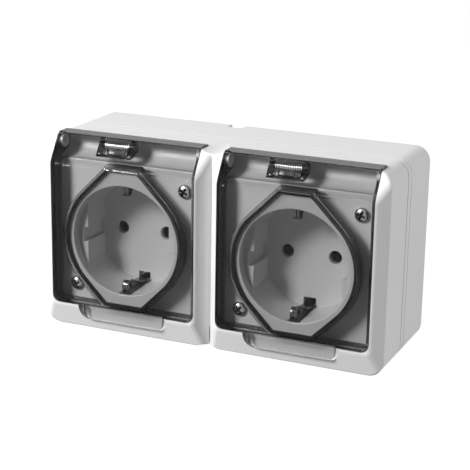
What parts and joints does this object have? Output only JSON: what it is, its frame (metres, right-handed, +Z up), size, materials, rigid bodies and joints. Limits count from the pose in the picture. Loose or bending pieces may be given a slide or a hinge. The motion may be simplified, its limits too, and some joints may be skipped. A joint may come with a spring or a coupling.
{
  "type": "outdoor weatherproof double socket outlet",
  "caption": "Surface-mounted weatherproof double socket with two spring-closed smoky lids in a white housing.",
  "frame": {"origin": "centre of the flat back, on the wall face", "axes": "+X to the right along the two outlets, +Y into the wall, +Z up"},
  "size_m": [0.1388, 0.052, 0.0766],
  "materials": {
    "housing_plastic": "satin",
    "insert_plastic": "satin",
    "smoky_lid": "clear smoky grey",
    "black_plastic": "satin black",
    "rubber": "matt",
    "screw_steel": "bright plated",
    "spring_steel": "bright wire and strip",
    "brass": "bare"
  },
  "bodies": {
    "housing": {"front_frame": "housing_plastic", "back_box": "housing_plastic", "body_gasket": "rubber", "cable_grommet": "rubber", "left_insert": "insert_plastic", "left_insert_gasket": "rubber", "left_cover_screws": "screw_steel", "left_contact_block": "black_plastic", "left_clip_linings": "black_plastic", "left_pin_contacts": "brass", "left_earth_strap": "spring_steel", "left_terminal_screws": "screw_steel", "right_insert": "insert_plastic", "right_insert_gasket": "rubber", "right_cover_screws": "screw_steel", "right_contact_block": "black_plastic", "right_clip_linings": "black_plastic", "right_pin_contacts": "brass", "right_earth_strap": "spring_steel", "right_terminal_screws": "screw_steel"},
    "left_lid_assembly": {"left_lid": "smoky_lid", "left_lid_seal": "rubber", "left_spring_pin": "spring_steel", "left_torsion_spring": "spring_steel"},
    "right_lid_assembly": {"right_lid": "smoky_lid", "right_lid_seal": "rubber", "right_spring_pin": "spring_steel", "right_torsion_spring": "spring_steel"}
  },
  "joints": [
    {"name": "left_lid_hinge", "type": "hinge", "parent": "housing", "child": "left_lid_assembly", "pos_m": [-0.0347, -0.0425, 0.0346], "axis": [-1, 0, 0], "range_deg": [0, 105], "stiffness_Nm_per_rad": 0.02, "springref_deg": -28.65},
    {"name": "right_lid_hinge", "type": "hinge", "parent": "housing", "child": "right_lid_assembly", "pos_m": [0.0347, -0.0425, 0.0346], "axis": [-1, 0, 0], "range_deg": [0, 105], "stiffness_Nm_per_rad": 0.02, "springref_deg": -28.65}
  ]
}
